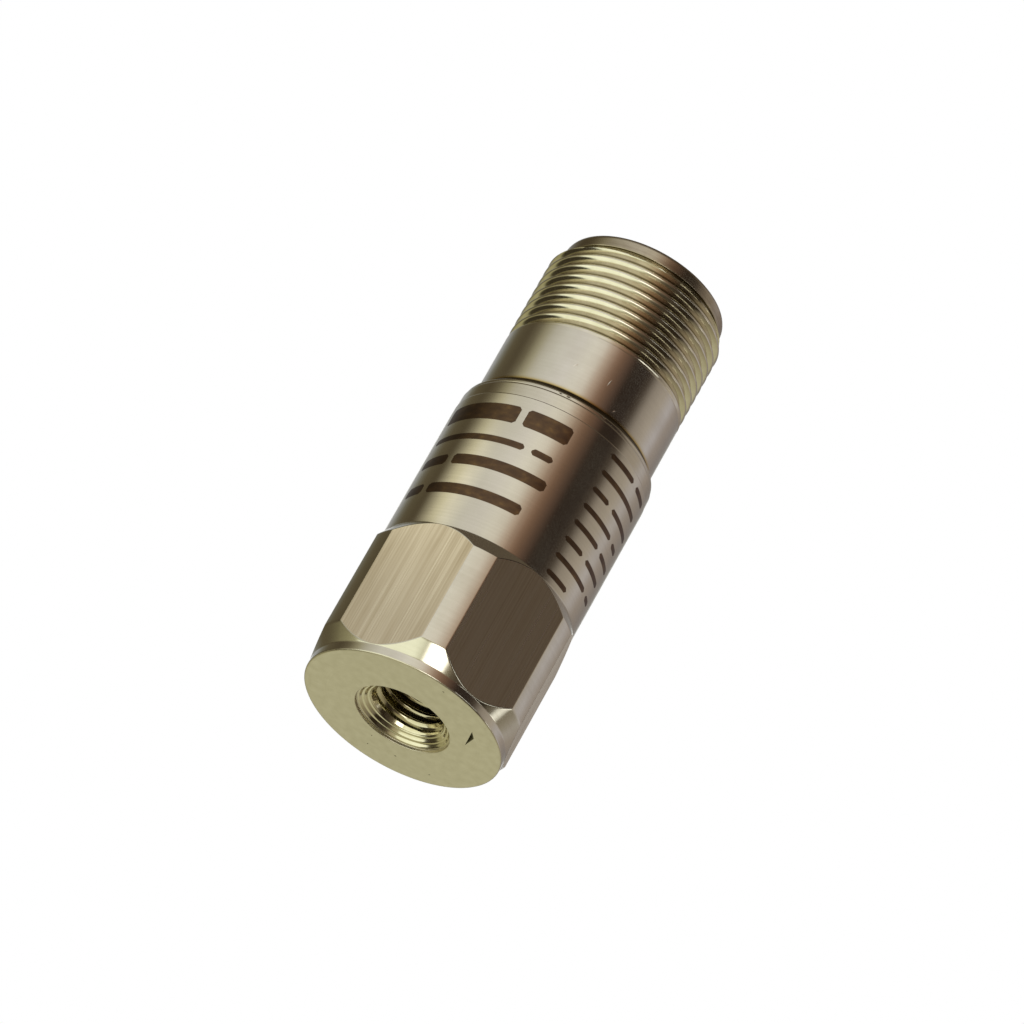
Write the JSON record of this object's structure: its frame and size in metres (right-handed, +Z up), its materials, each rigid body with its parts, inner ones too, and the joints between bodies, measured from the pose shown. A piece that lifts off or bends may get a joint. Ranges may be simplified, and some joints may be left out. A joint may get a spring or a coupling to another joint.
{
  "type": "vibration sensor",
  "caption": "Compact stainless vibration sensor: hexagon base with a tapped stud hole, round body and a threaded round connector on top.",
  "frame": {"origin": "centre of the flat base face, on the sensor's axis", "axes": "+Z up the sensor's axis from the base face to the connector's rim; two corners of the hexagon on the Y axis, two flats across the X axis"},
  "size_m": [0.0174, 0.019, 0.0454],
  "materials": {
    "housing_steel": "austenitic stainless, turned, the flats brushed along the axis",
    "connector_steel": "austenitic stainless, fine turned",
    "sealing_glass": "fused dark green sealing glass, opaque",
    "gold_plating": "gold plated contact",
    "alumina": "ground alumina",
    "polyimide_film": "amber film",
    "tin_plate": "drawn tinned steel",
    "ground_steel": "ground stainless",
    "piezoceramic": "lapped ceramic",
    "rolled_brass": "rolled brass",
    "tungsten": "sintered heavy metal, ground",
    "circuit_board": "glass epoxy with green solder mask",
    "moulded_epoxy": "black moulding",
    "capacitor_ceramic": "fired brown ceramic",
    "red_insulation": "extruded wire insulation",
    "black_insulation": "extruded wire insulation",
    "white_insulation": "extruded wire insulation"
  },
  "bodies": {
    "root": {"housing": "housing_steel", "connector_shell": "connector_steel", "glass_insert": "sealing_glass", "contact_pin_a": "gold_plating", "contact_pin_b": "gold_plating", "isolation_disc": "alumina", "isolation_sleeve": "polyimide_film", "shield_can": "tin_plate", "element_base": "ground_steel", "piezo_plate_left": "piezoceramic", "piezo_plate_right": "piezoceramic", "electrode_left": "rolled_brass", "electrode_right": "rolled_brass", "seismic_mass_left": "tungsten", "seismic_mass_right": "tungsten", "insulating_washer_left": "polyimide_film", "insulating_washer_right": "polyimide_film", "preload_bolt": "ground_steel", "preload_nut": "ground_steel", "board_standoff_a": "rolled_brass", "board_standoff_b": "rolled_brass", "board_screw_a": "ground_steel", "board_screw_b": "ground_steel", "circuit_board": "circuit_board", "amplifier_chip": "moulded_epoxy", "input_capacitor": "capacitor_ceramic", "output_capacitor": "capacitor_ceramic", "feedback_resistor": "moulded_epoxy", "bias_resistor": "moulded_epoxy", "protection_diode": "moulded_epoxy", "output_lead_a": "red_insulation", "output_lead_b": "black_insulation", "element_lead_left": "white_insulation", "element_lead_right": "white_insulation"}
  },
  "joints": []
}
